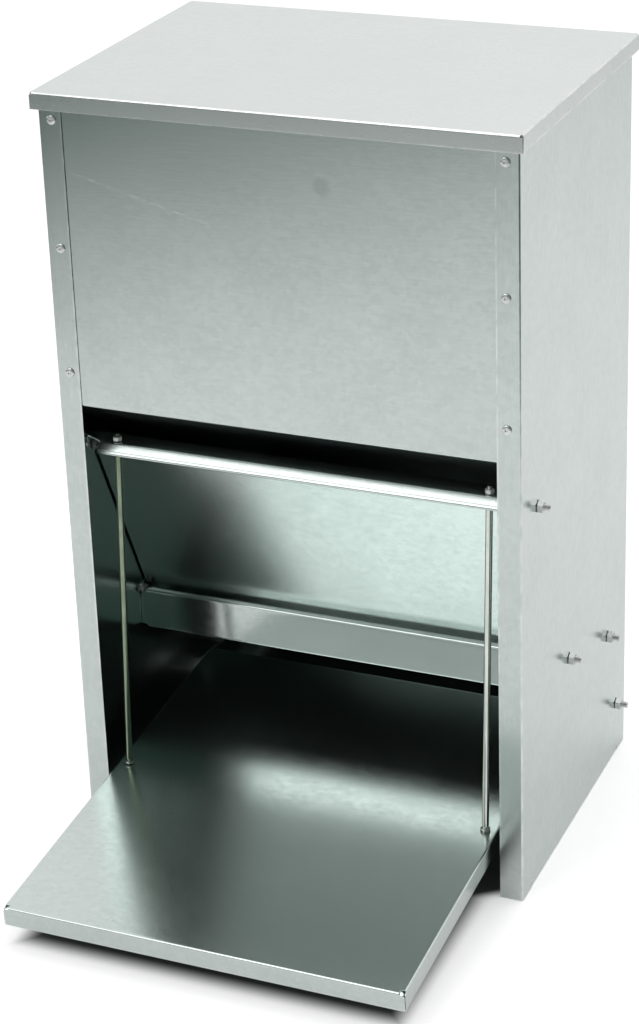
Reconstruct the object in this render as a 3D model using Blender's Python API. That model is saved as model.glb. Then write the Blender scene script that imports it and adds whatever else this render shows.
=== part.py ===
"""Galvanized treadle feed dispenser for poultry, built from folded sheet steel.

Body coordinates: X to the right, Y to the back from the body's front face, Z up from
the ground. All lengths are in metres. Sheets are drawn on their middle surface, folded
along their edges and then given their thickness.
"""
import math

import bpy
import bmesh
from mathutils import Vector

# Cabinet
BODY_WIDTH = 0.400
BODY_DEPTH = 0.286
TOTAL_HEIGHT = 0.660
SHEET = 0.0008
BEND = 0.0012
GAP = 0.0003
FRONT_FLANGE = 0.020
REAR_FLANGE = 0.020
FOOT_FLANGE = 0.015
FOOT_START = 0.0240
FOOT_END = 0.2620
RELIEF_SLOT = 0.0015
INNER_HALF = 0.1986

# Lid
LID_SIDE = 0.004
LID_FRONT = 0.006
LID_REAR = 0.0065
LID_SKIRT = 0.014

# Hopper
PANEL_BOTTOM = 0.3935
CHUTE_SLOPE = math.radians(33.0)
CHUTE_LENGTH = 0.2545
CHUTE_DROP = 0.046
CHUTE_SIDE = 0.012

# Rear panel
REAR_PANEL_BOTTOM = 0.0040
REAR_FOLD_HALF = 0.176
REAR_FOLD = 0.012

# Fastener positions on the side walls, (y, z)
FLAP_AXIS = (0.041, 0.342)
REST_BOLT = (0.233, 0.131)
LIP_BOLT = (0.123, 0.165)
TREADLE_AXIS = (0.260, 0.050)
BOLT_RADIUS = 0.00295
BOLT_HOLE = 0.0033
BOLT_END = 0.2108
BOLT_CHAMFER = 0.0006
HEAD_RADIUS = 0.0052
HEAD_HEIGHT = 0.0033
SOCKET_RADIUS = 0.0022
SOCKET_DEPTH = 0.0019
SPACER_RADIUS = 0.0050

# Nut sizes: width across flats, height and bore radius
M6_NUT = (0.010, 0.005, 0.00325)
M4_NUT = (0.007, 0.0032, 0.0023)

# Rivets
RIVET_X = 0.1885
RIVET_Z = (0.637, 0.530, 0.4225)
REAR_RIVET_Z = (0.600, 0.420, 0.240, 0.060)
RIVET_RADIUS = 0.0020
RIVET_HOLE = 0.0022
RIVET_HEAD = 0.0040
RIVET_PLAY = 0.00025

# Trough
TROUGH_LIP_Y = 0.1170
TROUGH_LIP_TOP = 0.168
TROUGH_LIP_RETURN = 0.0065
TROUGH_LIP_INSET = 0.0050
TROUGH_FLOOR = 0.1306
TROUGH_TILT = math.radians(3.15)
TROUGH_HALF = 0.1985
TROUGH_REAR_Y = 0.2830
TROUGH_REAR_TOP = 0.200

# Flap over the trough: closing plate, lever arm on top and slanted lip in front
FLAP_SHEET = 0.0015
FLAP_BEND = 0.0021
FLAP_OFFSET = 0.0063
FLAP_PLATE_HALF = 0.1900
FLAP_WIDE_HALF = 0.1976
FLAP_EDGE_Z = 0.161
FLAP_ARM_TOP = 0.3534
FLAP_CREST_Y = 0.0220
FLAP_LIP_SLOPE = math.radians(45.0)
FLAP_LIP_LENGTH = 0.0106
FLAP_LIP_HALF = 0.1777
EAR_X = 0.1945
EAR_RADIUS = 0.0075
EAR_FRONT_Y = 0.0310

# Treadle
TREADLE_SHEET = 0.0007
TREADLE_HALF = 0.174
TREADLE_FRONT = (-0.203, 0.036)
TREADLE_SLOPE = math.atan(0.089)
TREADLE_REAR_Y = 0.200
TREADLE_LIP = 0.017
TREADLE_SIDE = 0.018
TREADLE_TAIL = 0.0130
TREADLE_EAR = 0.0095
TREADLE_ROD_HOLE = 0.0040

# Lift rods, which lean back from the treadle to the lever arm
ROD_X = 0.164
ROD_FOOT_Y = 0.0098
ROD_HEAD = (0.0280, 0.3550)
ROD_RADIUS = 0.003
ROD_NECK = 0.0020
ROD_BOTTOM = 0.0440
ROD_SHOULDER = 0.3460
ROD_TOP = 0.3600
ROD_CHAMFER = 0.0006
COLLAR_RADIUS = 0.0042
COLLAR_HEIGHT = 0.0015
TOP_NUT_PLAY = 0.0006
COLLAR_PLAY = 0.0010
LOWER_NUT_PLAY = 0.0013

# Metal colours
GALVANIZED = (0.62, 0.66, 0.65)
BRIGHT_STEEL = (0.72, 0.73, 0.72)
ZINC_PLATE = (0.60, 0.60, 0.56)

# The origin lies below the middle of the outer box, from the treadle to the lid
Y_MID = 0.044817
SIDES = (("left", -1), ("right", 1))

for old in list(bpy.data.objects):
    bpy.data.objects.remove(old, do_unlink=True)

ROOT = bpy.data.objects.new("feeder_axes", None)
bpy.context.scene.collection.objects.link(ROOT)
ROOT.location = (0.0, -Y_MID, 0.0)


def vec(x, y, z):
    return Vector((x, y, z))


def principled(name, color, roughness, metallic=1.0):
    mat = bpy.data.materials.new(name)
    mat.use_nodes = True
    shader = mat.node_tree.nodes["Principled BSDF"]
    shader.inputs["Base Color"].default_value = (*color, 1.0)
    shader.inputs["Roughness"].default_value = roughness
    shader.inputs["Metallic"].default_value = metallic
    mat.diffuse_color = (*color, 1.0)
    return mat


def add_object(name, bm, color, roughness, origin=(0.0, 0.0, 0.0), round_piece=False):
    """Store the mesh with its origin at the given point of the body."""
    origin = Vector(origin)
    bmesh.ops.translate(bm, verts=bm.verts, vec=-origin)
    mesh = bpy.data.meshes.new(name)
    bm.to_mesh(mesh)
    bm.free()
    obj = bpy.data.objects.new(name, mesh)
    bpy.context.scene.collection.objects.link(obj)
    obj.parent = ROOT
    obj.location = origin
    mesh.materials.append(principled(name + "_metal", color, roughness))
    if round_piece:
        mesh.shade_smooth()
        mesh.set_sharp_from_angle(angle=math.radians(35.0))
    return obj


def punch(bm, center, axis, radius, slide=(0.0, 0.0, 0.0)):
    """A closed bar that cuts a round hole, or a slot along slide, through a sheet."""
    sides = 16
    length = 0.006
    axis = Vector(axis).normalized()
    slide = Vector(slide)
    side = slide.normalized() if slide.length > 0.0 else axis.orthogonal().normalized()
    up = axis.cross(side)
    ends = ([], [])
    for k in range(sides):
        angle = 2 * math.pi * (k + 0.5) / sides
        spoke = side * radius * math.cos(angle) + up * radius * math.sin(angle)
        spoke += slide / 2 if math.cos(angle) > 0 else -slide / 2
        for end, sign in zip(ends, (-0.5, 0.5)):
            end.append(bm.verts.new(Vector(center) + spoke + axis * sign * length))
    bm.faces.new(list(reversed(ends[0])))
    bm.faces.new(ends[1])
    for k in range(sides):
        n = (k + 1) % sides
        bm.faces.new((ends[0][k], ends[0][n], ends[1][n], ends[1][k]))


def cut_holes(obj, holes, origin):
    """Cut (center, axis, radius) holes, or slots with a fourth value, from a sheet."""
    bm = bmesh.new()
    for hole in holes:
        punch(bm, *hole)
    bmesh.ops.translate(bm, verts=bm.verts, vec=-Vector(origin))
    mesh = bpy.data.meshes.new(obj.name + "_punch")
    bm.to_mesh(mesh)
    bm.free()
    cutter = bpy.data.objects.new(obj.name + "_punch", mesh)
    bpy.context.scene.collection.objects.link(cutter)
    cutter.parent = ROOT
    cutter.location = origin
    cutter.hide_render = True
    cutter.display_type = "WIRE"
    boolean = obj.modifiers.new("holes", "BOOLEAN")
    boolean.operation = "DIFFERENCE"
    boolean.object = cutter


def folded_sheet(name, outline, inside, flanges, thickness=SHEET, holes=(),
                 origin=(0.0, 0.0, 0.0), color=GALVANIZED, roughness=0.36):
    """A flat outline with flanges folded from its edges.

    Each flange is (P, Q, steps): the edge from P to Q and what is folded from it.
    A step is ("bend", degrees, radius), turning toward the inside vector, or
    ("flat", length, widen_p, widen_q), or a last ("panel", points) whose points are
    (along the edge from P, out from the last fold), listed from the P side to Q.
    """
    bm = bmesh.new()
    points = [Vector(p) for p in outline]
    normal = Vector()
    for a, b in zip(points, points[1:] + points[:1]):
        normal += a.cross(b)
    normal.normalize()
    if normal.dot(Vector(inside)) < 0:
        points.reverse()
        normal.negate()
    verts = [bm.verts.new(p) for p in points]
    bm.faces.new(verts)
    count = len(points)

    def index_of(point):
        return min(range(count), key=lambda i: (points[i] - Vector(point)).length)

    for start, end, steps in flanges:
        i, j = index_of(start), index_of(end)
        forward = (i + 1) % count == j
        p_vert, q_vert = verts[i], verts[j]
        along = (points[j] - points[i]).normalized()
        out = along.cross(normal) if forward else normal.cross(along)
        turn = normal.copy()

        def add_row(p_new, q_new, p_old, q_old):
            p_next, q_next = bm.verts.new(p_new), bm.verts.new(q_new)
            ring = (q_old, p_old, p_next, q_next) if forward else (p_old, q_old, q_next, p_next)
            bm.faces.new(ring)
            return p_next, q_next

        for step in steps:
            if step[0] == "bend":
                angle = math.radians(step[1])
                sign = 1.0 if angle > 0 else -1.0
                radius = step[2]
                parts = max(2, round(abs(step[1]) / 30))
                p_base, q_base = p_vert.co.copy(), q_vert.co.copy()
                for k in range(1, parts + 1):
                    part = abs(angle) * k / parts
                    move = out * radius * math.sin(part)
                    move += turn * sign * radius * (1 - math.cos(part))
                    p_vert, q_vert = add_row(p_base + move, q_base + move, p_vert, q_vert)
                new_out = out * math.cos(angle) + turn * math.sin(angle)
                turn = turn * math.cos(angle) - out * math.sin(angle)
                out = new_out
            elif step[0] == "flat":
                length, widen_p, widen_q = step[1:]
                p_new = p_vert.co + out * length - along * widen_p
                q_new = q_vert.co + out * length + along * widen_q
                p_vert, q_vert = add_row(p_new, q_new, p_vert, q_vert)
            else:
                base = p_vert.co.copy()
                shape = [bm.verts.new(base + along * u + out * v) for u, v in step[1]]
                ring = [q_vert, p_vert] + shape
                bm.faces.new(ring if forward else list(reversed(ring)))
    obj = add_object(name, bm, color, roughness, origin)
    solid = obj.modifiers.new("sheet", "SOLIDIFY")
    solid.thickness = thickness
    solid.offset = 0.0
    solid.use_even_offset = True
    solid.use_quality_normals = True
    if holes:
        cut_holes(obj, holes, origin)
    return obj


def mirrored(points):
    """The same points on the left side, in the opposite order."""
    return [vec(-p.x, p.y, p.z) for p in reversed(points)]


def arc(center, radius, start, end, parts):
    """Points on a round corner, angles in degrees."""
    points = []
    for k in range(parts + 1):
        angle = math.radians(start + (end - start) * k / parts)
        points.append((center[0] + radius * math.cos(angle), center[1] + radius * math.sin(angle)))
    return points


def lathe(bm, profile, base, axis, sides, closed=False):
    """Turn (radius, height) points about an axis. A radius of 0 closes a tip."""
    axis = Vector(axis).normalized()
    side = axis.orthogonal().normalized()
    up = axis.cross(side)
    rings = []
    for radius, height in profile:
        center = Vector(base) + axis * height
        if radius == 0.0:
            rings.append([bm.verts.new(center)])
            continue
        ring = []
        for k in range(sides):
            angle = 2 * math.pi * k / sides
            spoke = side * math.cos(angle) + up * math.sin(angle)
            ring.append(bm.verts.new(center + spoke * radius))
        rings.append(ring)
    pairs = list(zip(rings, rings[1:]))
    if closed:
        pairs.append((rings[-1], rings[0]))
    for low, high in pairs:
        for k in range(sides):
            n = (k + 1) % sides
            if len(low) == 1:
                bm.faces.new((low[0], high[n], high[k]))
            elif len(high) == 1:
                bm.faces.new((low[k], low[n], high[0]))
            else:
                bm.faces.new((low[k], low[n], high[n], high[k]))


# Cabinet side panels, each with a front, a rear and a foot flange
WALL_X = BODY_WIDTH / 2 - SHEET / 2
WALL_TOP = TOTAL_HEIGHT - SHEET - GAP
FOLD_INSET = SHEET / 2 + BEND


def side_panel(name, side):
    front_y = FOLD_INSET
    rear_y = BODY_DEPTH - FOLD_INSET
    relief = 0.004
    foot_trim = 0.006
    profile = [
        (front_y, 0.0), (FOOT_START - RELIEF_SLOT, 0.0), (FOOT_START - RELIEF_SLOT, relief),
        (FOOT_START, relief), (FOOT_START, FOLD_INSET), (FOOT_END, FOLD_INSET),
        (FOOT_END, relief), (FOOT_END + RELIEF_SLOT, relief), (FOOT_END + RELIEF_SLOT, 0.0),
        (rear_y, 0.0), (rear_y, WALL_TOP), (front_y, WALL_TOP),
    ]
    outline = [vec(side * WALL_X, y, z) for y, z in profile]
    fold = ("bend", 90, BEND)
    flanges = [
        (outline[11], outline[0], [fold, ("flat", FRONT_FLANGE - FOLD_INSET, 0, 0)]),
        (outline[9], outline[10], [fold, ("flat", REAR_FLANGE - FOLD_INSET, 0, 0)]),
        (outline[4], outline[5],
         [fold, ("flat", FOOT_FLANGE - FOLD_INSET, -foot_trim, -foot_trim)]),
    ]
    holes = []
    for y, z in (FLAP_AXIS, REST_BOLT, LIP_BOLT, TREADLE_AXIS):
        holes.append((vec(side * WALL_X, y, z), (1, 0, 0), BOLT_HOLE))
    for z in RIVET_Z:
        holes.append((vec(side * RIVET_X, SHEET / 2, z), (0, 1, 0), RIVET_HOLE))
    for z in REAR_RIVET_Z:
        holes.append((vec(side * RIVET_X, BODY_DEPTH - SHEET / 2, z), (0, 1, 0), RIVET_HOLE))
    return folded_sheet(name, outline, (-side, 0, 0), flanges, holes=holes)


side_panel("side_panel_left", -1)
side_panel("side_panel_right", 1)


# Front panel and hopper floor, folded from one sheet: the floor is the flat outline
def hopper_front():
    panel_y = SHEET + GAP + SHEET / 2
    turn = math.pi / 2 - CHUTE_SLOPE
    tangent = BEND * math.tan(turn / 2)
    down = vec(0.0, math.cos(CHUTE_SLOPE), -math.sin(CHUTE_SLOPE))
    corner = vec(0.0, panel_y, PANEL_BOTTOM + SHEET / 2)
    start = corner + down * tangent
    half = INNER_HALF - FOLD_INSET
    notch = 0.004
    notch_length = 0.010
    folded = half - notch
    beside = INNER_HALF - folded
    strip = 0.003
    side_trim = 0.008

    def on_floor(x, distance):
        return vec(x, start.y, start.z) + down * distance

    def full_width(height):
        """The panel past a fold, which is wider than the fold on both sides."""
        far = 2 * folded + beside
        return [(-beside, 0.0), (-beside, height), (far, height), (far, 0.0)]

    right = [
        on_floor(folded, 0.0), on_floor(folded, notch_length),
        on_floor(half, notch_length), on_floor(half, CHUTE_LENGTH - notch_length),
        on_floor(folded, CHUTE_LENGTH - notch_length), on_floor(folded, CHUTE_LENGTH),
    ]
    left = mirrored(right)
    rise = WALL_TOP - GAP - (corner.z + tangent)
    degrees = math.degrees(turn)
    panel = [("bend", degrees, BEND), ("flat", strip, 0, 0), ("panel", full_width(rise - strip))]
    drop = [("bend", -degrees, BEND), ("flat", strip, 0, 0),
            ("panel", full_width(CHUTE_DROP - strip))]
    upturn = [("bend", 90, BEND), ("flat", CHUTE_SIDE, -side_trim, -side_trim)]
    flanges = [
        (left[-1], right[0], panel),
        (left[0], right[-1], drop),
        (right[2], right[3], upturn),
        (left[3], left[2], upturn),
    ]
    holes = []
    for side in (-1, 1):
        for z in RIVET_Z:
            holes.append((vec(side * RIVET_X, panel_y, z), (0, 1, 0), RIVET_HOLE))
    return folded_sheet("hopper_front_and_chute", right + left, (0, 0.5, 1), flanges, holes=holes)


hopper_front()


# Rear panel with a stiffening fold at its foot
def rear_panel():
    y = BODY_DEPTH - SHEET - GAP - SHEET / 2
    low = REAR_PANEL_BOTTOM
    notch = 0.004
    slot_x = REAR_FOLD_HALF + RELIEF_SLOT
    right = [
        vec(REAR_FOLD_HALF, y, low), vec(REAR_FOLD_HALF, y, low + notch),
        vec(slot_x, y, low + notch), vec(slot_x, y, low),
        vec(INNER_HALF, y, low), vec(INNER_HALF, y, WALL_TOP - GAP),
    ]
    left = mirrored(right)
    fold = [("bend", 90, BEND), ("flat", REAR_FOLD, -notch, -notch)]
    holes = []
    for side in (-1, 1):
        for z in REAR_RIVET_Z:
            holes.append((vec(side * RIVET_X, y, z), (0, 1, 0), RIVET_HOLE))
    flanges = [(left[-1], right[0], fold)]
    return folded_sheet("rear_panel", right + left, (0, -1, 0), flanges, holes=holes)


rear_panel()


# Feed trough: a tray with a tall folded lip in front
def feed_trough():
    tilt = TROUGH_TILT
    degrees = math.degrees(tilt)
    back = vec(0.0, math.cos(tilt), math.sin(tilt))
    front_tangent = BEND * math.tan((math.pi / 2 + tilt) / 2)
    rear_tangent = BEND * math.tan((math.pi / 2 - tilt) / 2)
    front_y = TROUGH_LIP_Y + front_tangent
    rear_y = TROUGH_REAR_Y - rear_tangent
    length = (rear_y - front_y) / math.cos(tilt)
    half = TROUGH_HALF - BEND
    notch = 0.004
    folded = half - notch

    def on_floor(x, distance):
        return vec(x, front_y, TROUGH_FLOOR) + back * distance

    right = [
        on_floor(folded, 0.0), on_floor(folded, notch), on_floor(half, notch),
        on_floor(half, length - notch), on_floor(folded, length - notch),
        on_floor(folded, length),
    ]
    left = mirrored(right)

    # Lip: it flares to the full width over the fold and narrows to its top return
    neck = 0.0010
    flare = 0.0015
    corner_cut = 0.0040
    return_trim = 0.002
    reach = TROUGH_HALF + SHEET / 2 - folded
    cut = TROUGH_HALF - TROUGH_LIP_INSET - folded - reach
    rise = TROUGH_LIP_TOP - FOLD_INSET - (TROUGH_FLOOR + front_tangent)
    lip = [
        ("bend", 90 + degrees, BEND), ("flat", neck, 0, 0), ("flat", flare, reach, reach),
        ("flat", rise - neck - flare - corner_cut, 0, 0), ("flat", corner_cut, cut, cut),
        ("bend", 90, BEND), ("flat", TROUGH_LIP_RETURN - BEND, -return_trim, -return_trim),
    ]

    # Rear wall, a little narrower so that it stands between the side walls
    rear_reach = reach - SHEET - 3 * GAP
    rear_low = TROUGH_FLOOR + (rear_y - front_y) * math.tan(tilt)
    rear = [
        ("bend", 90 - degrees, BEND), ("flat", flare, rear_reach, rear_reach),
        ("flat", TROUGH_REAR_TOP - rear_low - BEND, 0, 0),
    ]

    # Side walls, (y, z): low beside the lip, rising to the rear wall
    wall_rear = TROUGH_REAR_Y - 4 * GAP
    wall_profile = [
        (0.1188, 0.1365), (0.1188, 0.1700), (0.1210, 0.1735), (0.1330, 0.1750),
        (0.2000, TROUGH_REAR_TOP), (wall_rear, TROUGH_REAR_TOP), (wall_rear, 0.1455),
    ]
    wall = []
    for y, z in wall_profile:
        dy, dz = y - right[2].y, z - right[2].z
        along = dy * math.cos(tilt) + dz * math.sin(tilt)
        wall.append((along, dz * math.cos(tilt) - dy * math.sin(tilt) - BEND))
    side_wall = [("bend", 90, BEND), ("panel", wall)]
    flanges = [
        (left[-1], right[0], lip),
        (left[0], right[-1], rear),
        (right[2], right[3], side_wall),
        (left[3], left[2], side_wall),
    ]
    holes = [(vec(side * TROUGH_HALF, *LIP_BOLT), (1, 0, 0), BOLT_HOLE) for side in (-1, 1)]
    return folded_sheet("feed_trough", right + left, (0, 0, 1), flanges, holes=holes)


feed_trough()


# Lift rod axis, on the plane x = 0: it starts where it meets the treadle's upper face
TREADLE_AT_ROD = TREADLE_FRONT[1] + (ROD_FOOT_Y - TREADLE_FRONT[0]) * math.tan(TREADLE_SLOPE)
ROD_DIRECTION = (vec(0.0, *ROD_HEAD) - vec(0.0, ROD_FOOT_Y, TREADLE_AT_ROD)).normalized()


def along_rod(side, distance):
    return vec(side * ROD_X, ROD_FOOT_Y, TREADLE_AT_ROD) + ROD_DIRECTION * distance


def rod_distance(z):
    """How far along the rod's axis the height z lies."""
    return (z - TREADLE_AT_ROD) / ROD_DIRECTION.z


# Flap over the trough. Its flat outline is the lever arm on top, with the closing
# plate folded down behind, the slanted lip in front and an ear for the pivot at each end
def trough_flap():
    axis_y, axis_z = FLAP_AXIS
    arm_z = FLAP_ARM_TOP - FLAP_SHEET / 2
    hem = FLAP_SHEET / 2 + GAP

    # The plate leans on the trough's lip bolts and passes behind the pivot
    lean = math.atan2(LIP_BOLT[0] - axis_y, axis_z - LIP_BOLT[1])
    plate_y = axis_y + FLAP_OFFSET * math.cos(lean)
    plate_z = axis_z + FLAP_OFFSET * math.sin(lean)
    turn = math.pi / 2 - lean
    tangent = FLAP_BEND * math.tan(turn / 2)
    rear_y = plate_y + (plate_z - arm_z) * math.tan(lean) - tangent
    front_y = FLAP_CREST_Y + (FLAP_SHEET / 2 + FLAP_BEND) * math.tan(FLAP_LIP_SLOPE / 2)

    # Arm outline, with a step beside the plate and a slanted corner beside the lip
    ear_half = EAR_X - FLAP_BEND
    ear_rear = rear_y - 0.0010
    corner_y = EAR_FRONT_Y - 0.0015
    right = [
        vec(FLAP_PLATE_HALF, rear_y, arm_z), vec(FLAP_PLATE_HALF, ear_rear, arm_z),
        vec(ear_half, ear_rear, arm_z), vec(ear_half, EAR_FRONT_Y, arm_z),
        vec(FLAP_PLATE_HALF - 0.001, corner_y, arm_z), vec(FLAP_LIP_HALF, front_y, arm_z),
    ]
    left = mirrored(right)

    # Plate: narrow at the top beside the ears, then wide, with a hem at its lower edge
    neck = 0.0015
    flare = 0.0045
    beside_ear = FLAP_WIDE_HALF - FLAP_PLATE_HALF - GAP
    plate_length = (arm_z - tangent * math.cos(lean) - FLAP_EDGE_Z) / math.cos(lean)
    plate = [
        ("bend", math.degrees(turn), FLAP_BEND), ("flat", neck, 0, 0),
        ("flat", flare, beside_ear, beside_ear),
        ("flat", plate_length - neck - flare, GAP, GAP),
        ("bend", -180, hem), ("flat", 0.010, -0.003, -0.003),
    ]

    # Lip: slanted down in front and hemmed on its inner side
    fold_loss = (FLAP_SHEET / 2 + FLAP_BEND) * math.tan(FLAP_LIP_SLOPE / 2)
    lip_flat = FLAP_LIP_LENGTH - fold_loss - hem - FLAP_SHEET / 2
    lip = [
        ("bend", math.degrees(FLAP_LIP_SLOPE), FLAP_BEND), ("flat", lip_flat, 0, 0),
        ("bend", 180, hem), ("flat", 0.0030, -0.004, -0.004),
    ]

    # Ear, measured from the rear end of its fold and down from the fold
    ear_top = arm_z - FLAP_BEND
    ear = [(-0.0006, 0.0004), (ear_rear - (axis_y + 0.0049), ear_top - axis_z)]
    for y, z in arc((axis_y, axis_z), EAR_RADIUS, -48, -180, 6):
        ear.append((ear_rear - y, ear_top - z))
    ear.append((ear_rear - EAR_FRONT_Y + 0.0004, 0.0006))
    ear_fold = [("bend", 90, FLAP_BEND), ("panel", ear)]
    flanges = [
        (left[-1], right[0], plate),
        (left[0], right[-1], lip),
        (right[2], right[3], ear_fold),
        (left[3], left[2], ear_fold),
    ]

    # Slots let the rods' necks tilt as the arm swings
    neck_slot = (0.0, 0.0018, 0.0)
    holes = []
    for side in (-1, 1):
        holes.append((vec(side * EAR_X, axis_y, axis_z), (1, 0, 0), BOLT_HOLE))
        at_arm = along_rod(side, rod_distance(arm_z))
        holes.append((at_arm, (0, 0, 1), ROD_NECK + 0.0004, neck_slot))
    return folded_sheet("trough_flap", right + left, (0, 0, -1), flanges, FLAP_SHEET, holes,
                        origin=(0.0, axis_y, axis_z), roughness=0.32)


trough_flap()


# Treadle: a tray-shaped plate whose side flanges reach back as pivot arms
def treadle():
    back = vec(0.0, math.cos(TREADLE_SLOPE), math.sin(TREADLE_SLOPE))
    below = vec(0.0, math.sin(TREADLE_SLOPE), -math.cos(TREADLE_SLOPE))
    inset = TREADLE_SHEET / 2 + BEND
    start = vec(0.0, *TREADLE_FRONT) + below * (TREADLE_SHEET / 2) + back * inset
    length = (TREADLE_REAR_Y - TREADLE_FRONT[0]) / math.cos(TREADLE_SLOPE) - 2 * inset
    half = TREADLE_HALF - inset
    notch = 0.003
    folded = half - notch

    def on_plate(x, distance):
        return vec(x, start.y, start.z) + back * distance

    right = [
        on_plate(folded, 0.0), on_plate(folded, notch), on_plate(half, notch),
        on_plate(half, length - notch), on_plate(folded, length - notch),
        on_plate(folded, length),
    ]
    left = mirrored(right)

    # Front flange, which flares past the corner notches to the full width
    flare = 0.0015
    reach = TREADLE_HALF - folded - 0.0002
    front = [
        ("bend", 90, BEND), ("flat", flare, reach, reach),
        ("flat", TREADLE_LIP - inset - flare, 0, 0),
    ]
    tail = [("bend", 90, BEND), ("flat", TREADLE_TAIL, 0, 0)]

    # Side arm, in distances along the plate and down from its fold
    pivot = vec(0.0, *TREADLE_AXIS) - right[2]
    pivot_at = (pivot.dot(back), pivot.dot(below) - BEND)
    depth = TREADLE_SIDE - inset
    edge = 0.0008
    arm_front = GAP - notch
    taper_start = 0.330
    arm = [(arm_front, edge), (arm_front, depth - 0.001), (taper_start, depth)]
    arm += arc(pivot_at, TREADLE_EAR, 108, -62, 9)
    arm.append((length - notch + 0.004, edge))
    arm_fold = [("bend", 90, BEND), ("panel", arm)]
    flanges = [
        (left[-1], right[0], front),
        (left[0], right[-1], tail),
        (right[2], right[3], arm_fold),
        (left[3], left[2], arm_fold),
    ]
    holes = []
    arm_x = TREADLE_HALF - TREADLE_SHEET / 2
    for side in (-1, 1):
        holes.append((vec(side * arm_x, *TREADLE_AXIS), (1, 0, 0), BOLT_HOLE))
        holes.append((along_rod(side, 0.0), below, TREADLE_ROD_HOLE))
    return folded_sheet("treadle", right + left, below, flanges, TREADLE_SHEET, holes,
                        origin=(0.0, *TREADLE_AXIS), roughness=0.30)


treadle()


# Lid: a shallow tray turned over, with a skirt on each side
def lid():
    z = TOTAL_HEIGHT - SHEET / 2
    x = BODY_WIDTH / 2 + LID_SIDE - FOLD_INSET
    front = FOLD_INSET - LID_FRONT
    rear = BODY_DEPTH + LID_REAR - FOLD_INSET
    nick = 0.0006
    right = [
        vec(x - nick, front, z), vec(x, front + nick, z),
        vec(x, rear - nick, z), vec(x - nick, rear, z),
    ]
    left = mirrored(right)

    # The front and rear skirts cover the ends of the side skirts
    skirt = LID_SKIRT - FOLD_INSET
    wide = FOLD_INSET + nick - 0.0002
    side_wide = 0.0007
    across = [("bend", 90, BEND), ("flat", nick, wide, wide), ("flat", skirt - nick, 0, 0)]
    beside = [("bend", 90, BEND), ("flat", skirt, side_wide, side_wide)]
    flanges = [
        (left[-1], right[0], across),
        (left[0], right[-1], across),
        (right[1], right[2], beside),
        (left[2], left[1], beside),
    ]
    return folded_sheet("lid", right + left, (0, 0, -1), flanges, roughness=0.42)


lid()


# Nuts: a chamfered hexagon with a plain bore
def nut(bm, base, axis, flat_toward, size=M6_NUT):
    """A nut standing on base along axis, with one flat facing flat_toward."""
    flats, height, bore = size
    axis = Vector(axis).normalized()
    side = Vector(flat_toward).normalized()
    up = axis.cross(side)
    sides = 12
    slant = math.radians(30)
    face_radius = flats / 2 * 0.95
    rings = [[] for _ in range(6)]
    for k in range(sides):
        angle = 2 * math.pi * k / sides
        outer = flats / 2 if k % 2 == 0 else flats / 2 / math.cos(slant)
        chamfer = (outer - face_radius) * math.tan(slant)
        spoke = side * math.cos(angle) + up * math.sin(angle)
        profile = [
            (bore, 0.0), (face_radius, 0.0), (outer, chamfer),
            (outer, height - chamfer), (face_radius, height), (bore, height),
        ]
        for ring, (radius, rise) in zip(rings, profile):
            ring.append(bm.verts.new(Vector(base) + spoke * radius + axis * rise))
    for low, high in zip(rings, rings[1:] + rings[:1]):
        for k in range(sides):
            n = (k + 1) % sides
            bm.faces.new((low[k], low[n], high[n], high[k]))


# Button head bolts that point outward through the side walls
def bolt(bm, side, inner_x, y, z):
    """The head's bearing face lies at inner_x; the thread ends outside the wall."""
    length = BOLT_END - inner_x
    profile = [
        (0.0, SOCKET_DEPTH - HEAD_HEIGHT), (SOCKET_RADIUS, SOCKET_DEPTH - HEAD_HEIGHT),
        (SOCKET_RADIUS, -HEAD_HEIGHT), (SOCKET_RADIUS + 0.0010, -HEAD_HEIGHT),
        (HEAD_RADIUS - 0.0006, -HEAD_HEIGHT * 0.68), (HEAD_RADIUS, -HEAD_HEIGHT * 0.22),
        (HEAD_RADIUS, 0.0), (BOLT_RADIUS, 0.0), (BOLT_RADIUS, length - BOLT_CHAMFER),
        (BOLT_RADIUS - BOLT_CHAMFER, length), (0.0, length),
    ]
    lathe(bm, profile, vec(side * inner_x, y, z), (side, 0, 0), 12)


def fastener_pair(prefix, axis, inner_x):
    """A bolt and its nut for one hole on both side walls."""
    for tag, side in SIDES:
        bm = bmesh.new()
        bolt(bm, side, inner_x, *axis)
        origin = (side * BODY_WIDTH / 2, *axis)
        add_object(prefix + "_bolt_" + tag, bm, BRIGHT_STEEL, 0.34, origin, True)
        bm = bmesh.new()
        nut(bm, vec(side * (BODY_WIDTH / 2 + GAP), *axis), (side, 0, 0), (0, 0, 1))
        add_object(prefix + "_nut_" + tag, bm, BRIGHT_STEEL, 0.34, origin, True)


def spacer_pair(prefix, axis, inner_x):
    """Plain sleeves between a moving ear and the side wall."""
    length = BODY_WIDTH / 2 - SHEET - GAP - inner_x
    bore = M6_NUT[2]
    profile = [(bore, 0.0), (SPACER_RADIUS, 0.0), (SPACER_RADIUS, length), (bore, length)]
    for tag, side in SIDES:
        bm = bmesh.new()
        base = vec(side * inner_x, *axis)
        lathe(bm, profile, base, (side, 0, 0), 12, closed=True)
        add_object(prefix + "_" + tag, bm, ZINC_PLATE, 0.42, base, True)


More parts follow.
